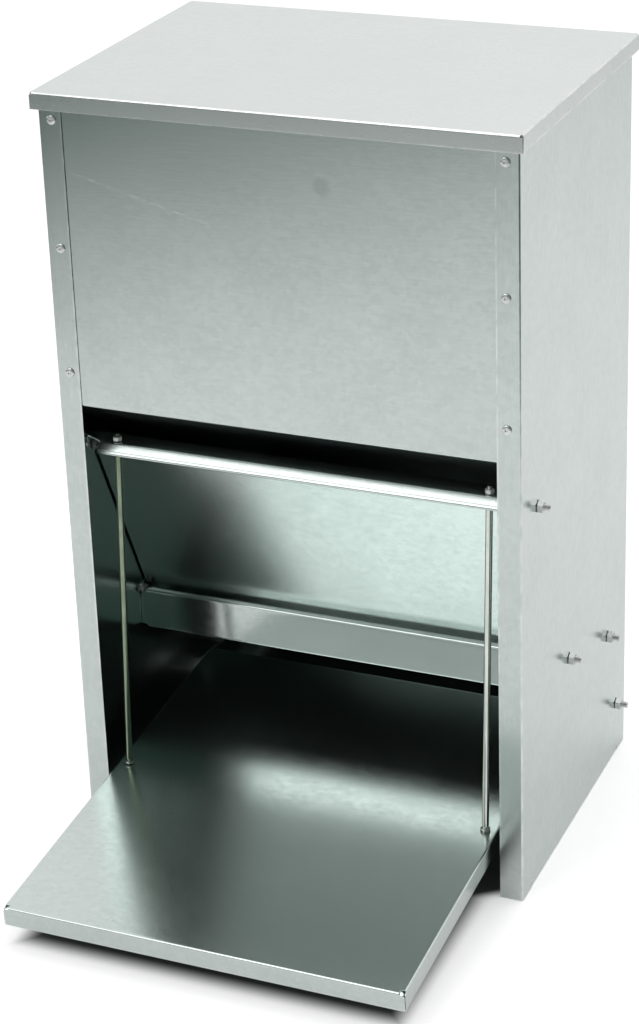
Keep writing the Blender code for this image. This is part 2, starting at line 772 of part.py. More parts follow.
EAR_INNER = EAR_X - FLAP_SHEET / 2
EAR_OUTER = EAR_X + FLAP_SHEET / 2
fastener_pair("flap_pivot", FLAP_AXIS, EAR_INNER - GAP)
spacer_pair("flap_pivot_spacer", FLAP_AXIS, EAR_OUTER + GAP)
fastener_pair("trough_lip", LIP_BOLT, TROUGH_HALF - SHEET / 2 - GAP)
fastener_pair("trough_rest", REST_BOLT, BODY_WIDTH / 2 - SHEET - GAP)
fastener_pair("treadle_pivot", TREADLE_AXIS, TREADLE_HALF - TREADLE_SHEET - GAP)
spacer_pair("treadle_pivot_sleeve", TREADLE_AXIS, TREADLE_HALF + GAP)


# Pop rivets that join the flanges to the panel behind them
def rivet(bm, x, face_y, z, inward):
    """A rivet with its domed head on the outer face and a bulb behind the two sheets."""
    grip = 2 * SHEET + GAP + 2 * RIVET_PLAY
    profile = [
        (0.0, -0.0004), (0.0010, -0.0005), (0.0012, -0.0012), (0.0024, -0.0012),
        (RIVET_HEAD * 0.9, -0.0007), (RIVET_HEAD, -0.0002), (RIVET_HEAD, 0.0),
        (RIVET_RADIUS, 0.0), (RIVET_RADIUS, grip), (0.0029, grip), (0.0031, grip + 0.0012),
        (0.0022, grip + 0.0030), (0.0, grip + 0.0034),
    ]
    lathe(bm, profile, vec(x, face_y - inward * RIVET_PLAY, z), (0, inward, 0), 12)


def rivet_rows(prefix, heights, face_y, inward):
    for tag, side in SIDES:
        for number, z in enumerate(heights, 1):
            bm = bmesh.new()
            rivet(bm, side * RIVET_X, face_y, z, inward)
            name = prefix + "_" + tag + "_" + str(number)
            add_object(name, bm, BRIGHT_STEEL, 0.30, (side * RIVET_X, face_y, z), True)


rivet_rows("front_rivet", RIVET_Z, 0.0, 1)
rivet_rows("rear_rivet", REAR_RIVET_Z, BODY_DEPTH, -1)


# Lift rods between the treadle and the lever arm. They turn where they cross the plate
def lift_rod(name, side):
    bottom = rod_distance(ROD_BOTTOM)
    shoulder = rod_distance(ROD_SHOULDER) - bottom
    top = rod_distance(ROD_TOP) - bottom
    profile = [
        (0.0, 0.0), (ROD_RADIUS - ROD_CHAMFER, 0.0), (ROD_RADIUS, ROD_CHAMFER),
        (ROD_RADIUS, shoulder - ROD_CHAMFER), (ROD_NECK, shoulder),
        (ROD_NECK, top - ROD_CHAMFER), (ROD_NECK - ROD_CHAMFER, top), (0.0, top),
    ]
    bm = bmesh.new()
    lathe(bm, profile, along_rod(side, bottom), ROD_DIRECTION, 16)
    add_object(name, bm, ZINC_PLATE, 0.38, along_rod(side, -TREADLE_SHEET / 2), True)


def rod_fasteners(tag, side):
    """A nut above the lever arm, and a thin collar and a nut about the treadle plate."""
    toward_rear = ROD_DIRECTION.cross(vec(1, 0, 0))
    origin = along_rod(side, -TREADLE_SHEET / 2)

    bm = bmesh.new()
    base = along_rod(side, rod_distance(FLAP_ARM_TOP) + TOP_NUT_PLAY)
    nut(bm, base, ROD_DIRECTION, toward_rear, M4_NUT)
    add_object("rod_top_nut_" + tag, bm, BRIGHT_STEEL, 0.30, origin, True)

    bm = bmesh.new()
    bore = M6_NUT[2]
    ring = [(bore, 0.0), (COLLAR_RADIUS, 0.0), (COLLAR_RADIUS, COLLAR_HEIGHT), (bore, COLLAR_HEIGHT)]
    lathe(bm, ring, along_rod(side, COLLAR_PLAY), ROD_DIRECTION, 16, closed=True)
    add_object("rod_collar_nut_" + tag, bm, BRIGHT_STEEL, 0.30, origin, True)

    bm = bmesh.new()
    base = along_rod(side, -TREADLE_SHEET - LOWER_NUT_PLAY - M6_NUT[1])
    nut(bm, base, ROD_DIRECTION, toward_rear)
    add_object("rod_lower_nut_" + tag, bm, BRIGHT_STEEL, 0.30, origin, True)


for tag, side in SIDES:
    lift_rod("lift_rod_" + tag, side)
    rod_fasteners(tag, side)
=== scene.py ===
"""Galvanized treadle feed dispenser: sheet finishes, turned fasteners, studio and camera.

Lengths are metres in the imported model's frame: X to the right, Y to the back, Z up.
"""
import math

import bpy
from mathutils import Matrix, Vector


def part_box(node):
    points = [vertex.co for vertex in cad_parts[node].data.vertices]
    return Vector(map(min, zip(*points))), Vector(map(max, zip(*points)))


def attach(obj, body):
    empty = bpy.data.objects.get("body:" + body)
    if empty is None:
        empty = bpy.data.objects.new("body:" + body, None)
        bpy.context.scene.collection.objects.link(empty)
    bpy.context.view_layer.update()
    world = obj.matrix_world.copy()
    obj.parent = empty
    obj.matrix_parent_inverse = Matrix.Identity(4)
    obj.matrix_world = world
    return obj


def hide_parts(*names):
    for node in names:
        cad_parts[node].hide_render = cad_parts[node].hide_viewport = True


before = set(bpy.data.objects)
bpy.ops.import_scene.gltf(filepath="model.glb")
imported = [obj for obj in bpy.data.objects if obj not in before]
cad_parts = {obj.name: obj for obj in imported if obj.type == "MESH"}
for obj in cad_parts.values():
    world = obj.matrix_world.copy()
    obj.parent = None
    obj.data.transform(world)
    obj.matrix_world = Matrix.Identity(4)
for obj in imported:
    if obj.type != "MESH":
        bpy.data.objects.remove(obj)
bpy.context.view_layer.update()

# Camera, at the photograph's angle
CAMERA_PLACE = Vector((0.8102, -1.8271, 1.2370))
CAMERA_TURN = math.radians(23.58)
CAMERA_DIP = math.radians(23.04)
CAMERA_ROLL = math.radians(-2.06)
IMAGE_HEIGHT = 1024
FOCAL_PIXELS = 2678.2
STRAIGHT_AHEAD_ROW = 420.0
SENSOR = 36.0
CLIP_NEAR = 0.05
CLIP_FAR = 50.0

# Zinc tints, from a clean bright patch to a dull one
ZINC_LIGHT = (0.642, 0.690, 0.674, 1.0)
ZINC_DARK = (0.520, 0.584, 0.564, 1.0)
LID_LIGHT = (0.672, 0.706, 0.696, 1.0)
LID_DARK = (0.600, 0.642, 0.630, 1.0)
PLATED_LIGHT = (0.850, 0.860, 0.850, 1.0)
PLATED_DARK = (0.600, 0.620, 0.610, 1.0)
ROD_LIGHT = (0.780, 0.805, 0.770, 1.0)
ROD_DARK = (0.580, 0.620, 0.570, 1.0)
# The left rod's plating is painted darker and greener as shade: a shaded copy of the rods'
# plating
SHADED_ROD_LIGHT = (0.325, 0.388, 0.290, 1.0)
SHADED_ROD_DARK = (0.190, 0.240, 0.165, 1.0)
# Painted shade for the bolts inside the cabinet
PAINTED_INSIDE_SHADE = (0.105, 0.125, 0.117, 1.0)
# Edges and folds: rubbed metal, and a painted highlight along them
WORN_EDGE_AND_HIGHLIGHT = (0.800, 0.815, 0.805, 1.0)
SMUDGE = (0.330, 0.385, 0.365, 1.0)
SCRATCH = (0.860, 0.880, 0.870, 1.0)

# Finishes: noise scales for rolling lines along X and along Z, the roughness of worn edges
# with their painted highlight, of smudged, scratched and hemmed metal, of the painted shade
# on the bolts inside the side walls, and the depth of a bump of height 1
LINES_ALONG_X = (60.0, 520.0, 520.0)
LINES_ALONG_Z = (520.0, 520.0, 60.0)
WORN_ROUGHNESS = 0.22
SMUDGE_ROUGHNESS = 0.40
SCRATCH_ROUGHNESS = 0.38
HEM_ROUGHNESS = 0.45
INSIDE_SHADE_ROUGHNESS = 0.55
BUMP_DEPTH = 0.001

# Rolling and turning marks of the fasteners, as noise scales
FINE_MARKS = (900.0, 900.0, 900.0)
RIVET_MARKS = (500.0, 500.0, 500.0)
ROD_MARKS = (300.0, 300.0, 30.0)
SLEEVE_MARKS = (60.0, 900.0, 900.0)

# Marks on the front panel and the line of the hem on the flap's lip
SMUDGE_CENTRE = (0.040, -0.0437, 0.603)
SCRATCH_START = (-0.186, -0.0437, 0.597)
SCRATCH_END = (-0.045, -0.0437, 0.560)
HEM_START = (-0.177, -0.0281, 0.3481)
HEM_END = (0.177, -0.0281, 0.3481)

# Painted shade darkens the bolts inside the side walls, where the cabinet's inside lies in
# shadow, and ends at the wall's inner face
WALL_FACE = (0.1960, 0.1990)

# Sheared edges: their round, the angle they start at, and how near split corners lie.
# Turned pieces are shaded smooth up to the crease angle
EDGE_ROUND = 0.00022
EDGE_ANGLE = 50.0
CORNER_GAP = 0.000002
CREASE_ANGLE = 32.0

# Threads: pitch and depth, rings in one turn, the flat crest and the flank as parts of
# half a turn, the part of the depth left at the end, and the plain end
COARSE_THREAD = (0.0010, 0.00055)
NECK_THREAD = (0.0007, 0.00040)
THREAD_STEPS = 6
THREAD_CREST = 0.12
THREAD_FLANK = 0.76
THREAD_RUNOUT = 0.25
PLAIN_END = 0.0005

# Bolts and their button heads. The dome swings from its start to the rim, in degrees
BOLT_RADIUS = 0.00295
BOLT_THREAD = 0.012
BOLT_SIDES = 24
SHORTEST_SHANK = 0.0006
HEAD_RADIUS = 0.0052
HEAD_HEIGHT = 0.0033
HEAD_RIM = 0.0002
DOME_RISE = 0.93
DOME_START = 18.0
DOME_SWING = 68.0
DOME_STEPS = 7
SOCKET_FLATS = 0.0040
SOCKET_DEPTH = 0.0019
SOCKET_EDGE = 0.00025
SOCKET_MOUTH = SOCKET_FLATS * 0.62
DOME_MOUTH = SOCKET_FLATS * 0.66

# Nuts: width across flats, height and bore radius
M6_NUT = (0.010, 0.005, 0.00325)
M4_NUT = (0.007, 0.0032, 0.0023)
NUT_FACE = 0.95
NUT_CHAMFER = 30.0
NUT_EDGE = 0.0004
NUT_SIDES = 48
NUT_TURNS = {"flap_pivot": 29.0, "trough_lip": 33.0, "trough_rest": 26.0,
             "treadle_pivot": 31.0}

# Collars on the rods: radius, height and bore radius
COLLAR_SIZE = (0.0042, 0.0015, 0.00325)
COLLAR_EDGE = 0.0002
COLLAR_BULGE = 0.7
COLLAR_SIDES = 40

# Rivets. Rings are pairs of a distance and a radius: the mandrel's from the sheet outward,
# the dish's from the head's top inward, and the bulb's from its start inward
RIVET_RADIUS = 0.0020
RIVET_HEAD = 0.0040
RIVET_CROWN = 0.0012
RIVET_SIDES = 28
CROWN_STEPS = 8
CROWN_RIM = 0.0002
MANDREL_TOP = 0.0004
MANDREL_RINGS = ((0.00045, 0.00085), (0.00080, 0.00095))
DISH_RINGS = ((0.00006, 0.00125), (0.0, 0.00145))
BULB_LENGTH = 0.0034
BULB_RINGS = ((0.0, 0.0029), (0.0006, 0.0031), (0.0014, 0.0030), (0.0030, 0.0022))
BULB_END = 0.0012

# Corner tabs of the treadle: inner corner, size, drop at the fold, thickness and steps
TAB_START = (0.1690, -0.2429, 0.03562)
TAB_REACH = 0.0040
TAB_DROP = 0.0018
TAB_SHEET = 0.0005
TAB_STEPS = 6

# Lift rods: two points of the leaning axis, (y, z), and heights on it
ROD_FOOT = (-0.035017, 0.054939)
ROD_HEAD = (-0.016817, 0.355000)
ROD_AXIS = Vector((0.0, ROD_HEAD[0] - ROD_FOOT[0], ROD_HEAD[1] - ROD_FOOT[1])).normalized()
ROD_REAR = ROD_AXIS.cross(Vector((1, 0, 0)))
ROD_RADIUS = 0.0030
ROD_NECK = 0.0020
ROD_BOTTOM = 0.0440
ROD_SHOULDER = 0.3460
ROD_TOP = 0.3600
ROD_LOW_THREAD = 0.016
ROD_PLAIN = ROD_RADIUS - 0.00005
ROD_TAPER = 0.0006
NECK_BARE = 0.0010
NECK_THREAD_START = 0.0012
NECK_THREAD_END = 0.0004

# Floor. In reflections the white floor fades out in front, to the left and to the right:
# a direction, and where along it the fade starts and ends. It is white again at the far
# end. The shade under the feeder has a half width and half depth, and is wider under the
# cabinet
FLOOR_Z = -0.0004
FLOOR_HALF = 8.0
FLOOR_WHITE = (0.90, 0.90, 0.90, 1.0)
FLOOR_FAR = (0.115, 0.162, 0.149, 1.0)
FLOOR_GLOW = 0.45
FLOOR_REFLECTED_GLOW = 0.20
SHADE_TINT = (0.100, 0.112, 0.107, 1.0)
SHADE_HALF = (0.168, 0.240)
SHADE_EDGE = 0.016
SHADE_WIDER = (-0.055, -0.025, 0.0, 0.026)
FAR_LEFT = ((-0.80, -0.60, 0.0), 0.88, 2.42)
FAR_RIGHT = ((0.75, -0.60, 0.0), 0.80, 1.40)
FAR_END = ((0.0, -1.0, 0.0), 4.0, 7.0)

# The unlit side of the studio, as a direction and where its soft edge starts and ends.
# The unlit strip over the far end of the floor has a soft top, a soft foot and soft sides,
# as the heights and depths of a direction
UNLIT_SIDE = ((0.75, -0.60, 0.30), 0.45, 0.72)
UNLIT_TOP = (0.10, 0.42)
UNLIT_FOOT = (-0.06, 0.04)
UNLIT_AHEAD = (-0.60, -0.20)
UNLIT_TINT = (0.050, 0.092, 0.077, 1.0)
WHITE = (1.0, 1.0, 1.0, 1.0)
FILL_LIGHT = 0.55

# Softboxes: place, size and watts. Both look at a point inside the feeder
LAMP_AIM = (0.0, 0.0, 0.20)
FRONT_SOFTBOX = ((-0.95, -1.55, 2.50), (1.3, 2.0), 13.0)
TOP_SOFTBOX = ((0.3, 0.9, 2.80), (2.8, 2.4), 26.0)


# Node helpers

def add_node(tree, kind, **settings):
    node = tree.nodes.new(kind)
    for name, value in settings.items():
        setattr(node, name, value)
    return node


def feed(tree, socket, source):
    """Link a socket to its source, or set it to a plain value."""
    if isinstance(source, bpy.types.NodeSocket):
        tree.links.new(source, socket)
    else:
        socket.default_value = source


def calc(tree, operation, *values):
    node = add_node(tree, "ShaderNodeMath", operation=operation)
    for socket, value in zip(node.inputs, values):
        feed(tree, socket, value)
    return node.outputs[0]


def vector_calc(tree, operation, *values):
    node = add_node(tree, "ShaderNodeVectorMath", operation=operation)
    for socket, value in zip(node.inputs, values):
        feed(tree, socket, value)
    gives_number = operation in ("DOT_PRODUCT", "DISTANCE")
    return node.outputs["Value" if gives_number else "Vector"]


def fade(tree, value, low, high, at_low=0.0, at_high=1.0):
    """A smooth step from at_low to at_high while the value goes from low to high."""
    node = add_node(tree, "ShaderNodeMapRange", interpolation_type="SMOOTHSTEP")
    for name, source in (("Value", value), ("From Min", low), ("From Max", high),
                         ("To Min", at_low), ("To Max", at_high)):
        feed(tree, node.inputs[name], source)
    return node.outputs["Result"]


def tint_between(tree, factor, first, second):
    node = add_node(tree, "ShaderNodeMix", data_type="RGBA")
    for index, source in ((0, factor), (6, first), (7, second)):
        feed(tree, node.inputs[index], source)
    return node.outputs[2]


def value_between(tree, factor, first, second):
    node = add_node(tree, "ShaderNodeMix", data_type="FLOAT")
    for index, source in ((0, factor), (2, first), (3, second)):
        feed(tree, node.inputs[index], source)
    return node.outputs[0]


def noise(tree, vector, scale, detail=2.0):
    node = add_node(tree, "ShaderNodeTexNoise")
    feed(tree, node.inputs["Vector"], vector)
    feed(tree, node.inputs["Scale"], scale)
    feed(tree, node.inputs["Detail"], detail)
    return node.outputs["Fac"]


def new_group(name, inputs, outputs):
    """A node group with named sockets. Returns its tree, its inputs and its output node."""
    tree = bpy.data.node_groups.new(name, "ShaderNodeTree")
    for label, kind in inputs:
        tree.interface.new_socket(name=label, in_out="INPUT", socket_type="NodeSocket" + kind)
    for label, kind in outputs:
        tree.interface.new_socket(name=label, in_out="OUTPUT", socket_type="NodeSocket" + kind)
    source = add_node(tree, "NodeGroupInput")
    result = add_node(tree, "NodeGroupOutput")
    return tree, source.outputs, result.inputs


def place_group(tree, group, **values):
    """Put a group into a material. Socket names take underscores for spaces here."""
    node = add_node(tree, "ShaderNodeGroup", node_tree=group)
    for name, value in values.items():
        feed(tree, node.inputs[name.replace("_", " ")], value)
    return node.outputs


# Shared effects

def rolled_zinc_group():
    """Zinc on rolled sheet: fine rolling lines, soft clouds, faint spangle and waviness."""
    tree, given, out = new_group(
        "rolled zinc",
        [("Vector", "Vector"), ("Light", "Color"), ("Dark", "Color"), ("Grain", "Vector"),
         ("Grain Amount", "Float"), ("Cloud Scale", "Float"), ("Cloud Amount", "Float"),
         ("Spangle Scale", "Float"), ("Spangle Amount", "Float"), ("Roughness", "Float"),
         ("Roughness Spread", "Float"), ("Waviness", "Float")],
        [("Color", "Color"), ("Roughness", "Float"), ("Height", "Float")])
    along_grain = vector_calc(tree, "MULTIPLY", given["Vector"], given["Grain"])
    lines = noise(tree, along_grain, 1.0, 4.0)
    finer = noise(tree, along_grain, 3.1, 2.0)
    grain = calc(tree, "SUBTRACT", calc(tree, "MULTIPLY_ADD", finer, 0.5, lines), 0.75)
    cloud = noise(tree, given["Vector"], given["Cloud Scale"], 3.0)
    clouds = calc(tree, "SUBTRACT", cloud, 0.5)
    cells = add_node(tree, "ShaderNodeTexVoronoi", feature="F1")
    feed(tree, cells.inputs["Vector"], given["Vector"])
    feed(tree, cells.inputs["Scale"], given["Spangle Scale"])
    split = add_node(tree, "ShaderNodeSeparateColor")
    feed(tree, split.inputs[0], cells.outputs["Color"])
    spangle = calc(tree, "SUBTRACT", split.outputs[0], 0.5)
    shade = calc(tree, "MULTIPLY_ADD", grain, given["Grain Amount"], 0.5)
    shade = calc(tree, "MULTIPLY_ADD", clouds, given["Cloud Amount"], shade)
    shade = calc(tree, "MULTIPLY_ADD", spangle, given["Spangle Amount"], shade)
    shade = calc(tree, "MINIMUM", calc(tree, "MAXIMUM", shade, 0.0), 1.0)
    dullness = calc(tree, "SUBTRACT", 0.5, shade)
    feed(tree, out["Color"], tint_between(tree, shade, given["Dark"], given["Light"]))
    feed(tree, out["Roughness"],
         calc(tree, "MULTIPLY_ADD", dullness, given["Roughness Spread"], given["Roughness"]))
    wave = noise(tree, given["Vector"], 7.0, 1.0)
    height = calc(tree, "MULTIPLY", wave, given["Waviness"])
    feed(tree, out["Height"], calc(tree, "MULTIPLY_ADD", grain, 0.010, height))
    return tree


def edge_wear_group():
    """A mask along the edges and folds of a sheet piece that fills the given box: rubbed metal
    there, and a painted highlight along them.
    """
    tree, given, out = new_group(
        "rubbed and highlighted edges",
        [("Vector", "Vector"), ("Low Corner", "Vector"), ("High Corner", "Vector"),
         ("Width", "Float"), ("Breakup Scale", "Float")],
        [("Mask", "Float")])
    below = vector_calc(tree, "ABSOLUTE", vector_calc(
        tree, "SUBTRACT", given["Vector"], given["Low Corner"]))
    above = vector_calc(tree, "ABSOLUTE", vector_calc(
        tree, "SUBTRACT", given["High Corner"], given["Vector"]))
    near = add_node(tree, "ShaderNodeSeparateXYZ")
    feed(tree, near.inputs[0], vector_calc(tree, "MINIMUM", below, above))
    x, y, z = near.outputs
    largest = calc(tree, "MAXIMUM", x, calc(tree, "MAXIMUM", y, z))
    smallest = calc(tree, "MINIMUM", x, calc(tree, "MINIMUM", y, z))
    total = calc(tree, "ADD", x, calc(tree, "ADD", y, z))
    second = calc(tree, "SUBTRACT", total, calc(tree, "ADD", largest, smallest))
    line = fade(tree, second, 0.0, given["Width"], 1.0, 0.0)
    patches = fade(tree, noise(tree, given["Vector"], given["Breakup Scale"], 3.0), 0.34, 0.62)
    feed(tree, out["Mask"], calc(tree, "MULTIPLY", line, patches))
    return tree


def scratches_group():
    """A mask of fine straight scratches in scattered patches."""
    tree, given, out = new_group(
        "fine scratches",
        [("Vector", "Vector"), ("Turn", "Vector"), ("Stretch", "Vector"), ("Amount", "Float")],
        [("Mask", "Float")])
    turned = add_node(tree, "ShaderNodeVectorRotate", rotation_type="EULER_XYZ")
    feed(tree, turned.inputs["Vector"], given["Vector"])
    feed(tree, turned.inputs["Rotation"], given["Turn"])
    stretched = vector_calc(tree, "MULTIPLY", turned.outputs[0], given["Stretch"])
    lines = fade(tree, noise(tree, stretched, 1.0, 0.0), 0.70, 0.76)
    patches = fade(tree, noise(tree, given["Vector"], 14.0, 2.0), 0.48, 0.62)
    mask = calc(tree, "MULTIPLY", lines, patches)
    feed(tree, out["Mask"], calc(tree, "MULTIPLY", mask, given["Amount"]))
    return tree


def drawn_line_group():
    """A mask along one straight scratch from start to end, thin and broken."""
    tree, given, out = new_group(
        "drawn line",
        [("Vector", "Vector"), ("Start", "Vector"), ("End", "Vector"), ("Width", "Float"),
         ("Unbroken", "Float"), ("Amount", "Float")],
        [("Mask", "Float")])
    run = vector_calc(tree, "SUBTRACT", given["End"], given["Start"])
    reach = vector_calc(tree, "SUBTRACT", given["Vector"], given["Start"])
    part = calc(tree, "DIVIDE", vector_calc(tree, "DOT_PRODUCT", reach, run),
                vector_calc(tree, "DOT_PRODUCT", run, run))
    part = calc(tree, "MINIMUM", calc(tree, "MAXIMUM", part, 0.0), 1.0)
    along = add_node(tree, "ShaderNodeVectorMath", operation="SCALE")
    feed(tree, along.inputs[0], run)
    feed(tree, along.inputs["Scale"], part)
    away = vector_calc(tree, "DISTANCE", reach, along.outputs[0])
    line = fade(tree, away, 0.0, given["Width"], 1.0, 0.0)
    broken = fade(tree, noise(tree, given["Vector"], 160.0, 2.0), 0.38, 0.60)
    ends = fade(tree, calc(tree, "ABSOLUTE", calc(tree, "SUBTRACT", part, 0.5)),
                0.30, 0.50, 1.0, 0.0)
    kept = calc(tree, "MAXIMUM", calc(tree, "MULTIPLY", broken, ends), given["Unbroken"])
    mask = calc(tree, "MULTIPLY", line, kept)
    feed(tree, out["Mask"], calc(tree, "MULTIPLY", mask, given["Amount"]))
    return tree


def soft_spot_group():
    """A mask of one soft round mark, such as a finger smudge."""
    tree, given, out = new_group(
        "soft spot",
        [("Vector", "Vector"), ("Centre", "Vector"), ("Radius", "Float"), ("Amount", "Float")],
        [("Mask", "Float")])
    away = vector_calc(tree, "DISTANCE", given["Vector"], given["Centre"])
    uneven = calc(tree, "MULTIPLY_ADD", noise(tree, given["Vector"], 90.0, 2.0), 0.006, away)
    core = calc(tree, "MULTIPLY", given["Radius"], 0.5)
    spot = fade(tree, uneven, core, given["Radius"], 1.0, 0.0)
    feed(tree, out["Mask"], calc(tree, "MULTIPLY", spot, given["Amount"]))
    return tree


ROLLED_ZINC = rolled_zinc_group()
EDGE_WEAR_AND_HIGHLIGHT = edge_wear_group()
SCRATCHES = scratches_group()
DRAWN_LINE = drawn_line_group()
SOFT_SPOT = soft_spot_group()


# Finishes

def new_finish(name):
    """A metal material. Returns it, its tree, its shader and the piece's own coordinates."""
    material = bpy.data.materials.new(name)
    material.use_nodes = True
    tree = material.node_tree
    shader = tree.nodes["Principled BSDF"]
    shader.inputs["Metallic"].default_value = 1.0
    place = add_node(tree, "ShaderNodeTexCoord").outputs["Object"]
    return material, tree, shader, place


def bumped(tree, height, strength):
    bump = add_node(tree, "ShaderNodeBump")
    bump.inputs["Strength"].default_value = strength
    bump.inputs["Distance"].default_value = BUMP_DEPTH
    feed(tree, bump.inputs["Height"], height)
    return bump.outputs["Normal"]


def sheet_finish(name, node, grain, light=ZINC_LIGHT, dark=ZINC_DARK, roughness=0.20,
                 spread=0.10, waviness=0.5, marks=()):
    """Zinc sheet for one CAD node: rolling lines, clouds, worn edges with a painted highlight,
    and scratches.
    """
    material, tree, shader, place = new_finish(name)
    low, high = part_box(node)
    zinc = place_group(
        tree, ROLLED_ZINC, Vector=place, Light=light, Dark=dark, Grain=grain,
        Grain_Amount=0.5, Cloud_Scale=16.0, Cloud_Amount=0.6, Spangle_Scale=210.0,
        Spangle_Amount=0.26, Roughness=roughness, Roughness_Spread=spread, Waviness=waviness)
    rubbed_and_highlighted = place_group(tree, EDGE_WEAR_AND_HIGHLIGHT, Vector=place, Low_Corner=low, High_Corner=high,
                       Width=0.0022, Breakup_Scale=70.0)["Mask"]
    lines = place_group(tree, SCRATCHES, Vector=place, Turn=(0.2, 0.5, 0.9),
                        Stretch=(26.0, 900.0, 900.0), Amount=0.20)["Mask"]
    # Edges and folds are painted lighter: partly rubbed metal, partly a painted highlight
    color = tint_between(tree, rubbed_and_highlighted, zinc["Color"], WORN_EDGE_AND_HIGHLIGHT)
    color = tint_between(tree, lines, color, SCRATCH)
    rough = value_between(tree, rubbed_and_highlighted, zinc["Roughness"], WORN_ROUGHNESS)
    for mark_color, mark_rough, mask in (make(tree, place) for make in marks):
        color = tint_between(tree, mask, color, mark_color)
        rough = value_between(tree, mask, rough, mark_rough)
    feed(tree, shader.inputs["Base Color"], color)
    feed(tree, shader.inputs["Roughness"], rough)
    feed(tree, shader.inputs["Normal"], bumped(tree, zinc["Height"], 1.0))
    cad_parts[node].material_slots[0].material = material
    return material


def hand_smudge(tree, place):
    spot = place_group(tree, SOFT_SPOT, Vector=place, Centre=SMUDGE_CENTRE,
                       Radius=0.013, Amount=0.32)["Mask"]
    return SMUDGE, SMUDGE_ROUGHNESS, spot


def long_scratch(tree, place):
    line = place_group(tree, DRAWN_LINE, Vector=place, Start=SCRATCH_START,
                       End=SCRATCH_END, Width=0.0018, Unbroken=0.0, Amount=0.40)["Mask"]
    return SCRATCH, SCRATCH_ROUGHNESS, line


def hem_line(tree, place):
    line = place_group(tree, DRAWN_LINE, Vector=place, Start=HEM_START,
                       End=HEM_END, Width=0.0008, Unbroken=1.0, Amount=0.75)["Mask"]
    return SMUDGE, HEM_ROUGHNESS, line


def front_panel_finish():
    sheet_finish("front panel zinc", "hopper_front_and_chute", LINES_ALONG_X,
                 marks=(hand_smudge, long_scratch))


def side_panel_finish(side):
    sheet_finish("side panel zinc " + side, "side_panel_" + side, LINES_ALONG_Z)


def rear_panel_finish():
    sheet_finish("rear panel zinc", "rear_panel", LINES_ALONG_X)


def trough_finish():
    sheet_finish("trough zinc", "feed_trough", LINES_ALONG_X, roughness=0.14)


def flap_finish():
    sheet_finish("flap zinc", "trough_flap", LINES_ALONG_X, roughness=0.24,
                 marks=(hem_line,))


def treadle_finish():
    return sheet_finish("treadle zinc", "treadle", LINES_ALONG_X, roughness=0.22)


def lid_finish():
    sheet_finish("lid zinc", "lid", LINES_ALONG_X, LID_LIGHT, LID_DARK, roughness=0.29)


def plated_finish(name, light, dark, roughness, grain, metallic=1.0, shade_inside=0.0):
    """Zinc plating on turned or drawn steel. Between the side walls it is painted dark, as
    shade.
    """
    material, tree, shader, place = new_finish(name)
    shader.inputs["Metallic"].default_value = metallic
    plating = place_group(
        tree, ROLLED_ZINC, Vector=place, Light=light, Dark=dark, Grain=grain,
        Grain_Amount=1.2, Cloud_Scale=60.0, Cloud_Amount=1.1, Spangle_Scale=900.0,
        Spangle_Amount=0.20, Roughness=roughness, Roughness_Spread=0.20, Waviness=0.0)
    split = add_node(tree, "ShaderNodeSeparateXYZ")
    feed(tree, split.inputs[0], place)
    aside = calc(tree, "ABSOLUTE", split.outputs["X"])
    # Painted shade: darker and rougher between the side walls
    inside_shade = fade(tree, aside, *WALL_FACE, shade_inside, 0.0)
    feed(tree, shader.inputs["Base Color"], tint_between(tree, inside_shade, plating["Color"], PAINTED_INSIDE_SHADE))
    feed(tree, shader.inputs["Roughness"],
         value_between(tree, inside_shade, plating["Roughness"], INSIDE_SHADE_ROUGHNESS))
    feed(tree, shader.inputs["Normal"], bumped(tree, plating["Height"], 0.6))
    return material


# The bolts carry painted shade between the side walls
BOLT_METAL = plated_finish("bolt plating", PLATED_LIGHT, PLATED_DARK, 0.36, FINE_MARKS,
                           metallic=0.62, shade_inside=0.9)
FASTENER_METAL = plated_finish("fastener plating", PLATED_LIGHT, PLATED_DARK, 0.36,
                               FINE_MARKS, metallic=0.62)
RIVET_METAL = plated_finish("rivet metal", PLATED_LIGHT, PLATED_DARK, 0.24, RIVET_MARKS,
                            metallic=0.75)
# The left rod's darker plating is painted shade; the right rod has the rods' own plating
ROD_METAL = {
    "left": plated_finish("left rod shaded plating", SHADED_ROD_LIGHT, SHADED_ROD_DARK, 0.20, ROD_MARKS),
    "right": plated_finish("right rod plating", ROD_LIGHT, ROD_DARK, 0.11, ROD_MARKS)}
COLLAR_METAL = plated_finish("collar plating", ROD_LIGHT, ROD_DARK, 0.30, FINE_MARKS)
SLEEVE_METAL = plated_finish("sleeve plating", ROD_LIGHT, ROD_DARK, 0.34, SLEEVE_MARKS)


# Softened sheet edges

def soft_edge_nodes():
    """Joins the split corners of a sheet and shades it smooth."""
    tree = bpy.data.node_groups.new("joined corners", "GeometryNodeTree")
    for way in ("INPUT", "OUTPUT"):
        tree.interface.new_socket(name="Geometry", in_out=way,
                                  socket_type="NodeSocketGeometry")
    source = add_node(tree, "NodeGroupInput")
    merge = add_node(tree, "GeometryNodeMergeByDistance")
    merge.inputs["Distance"].default_value = CORNER_GAP
    smooth = add_node(tree, "GeometryNodeSetShadeSmooth")
    result = add_node(tree, "NodeGroupOutput")
    tree.links.new(source.outputs[0], merge.inputs[0])
    tree.links.new(merge.outputs[0], smooth.inputs[0])
    tree.links.new(smooth.outputs[0], result.inputs[0])
    return tree


JOINED_CORNERS = soft_edge_nodes()


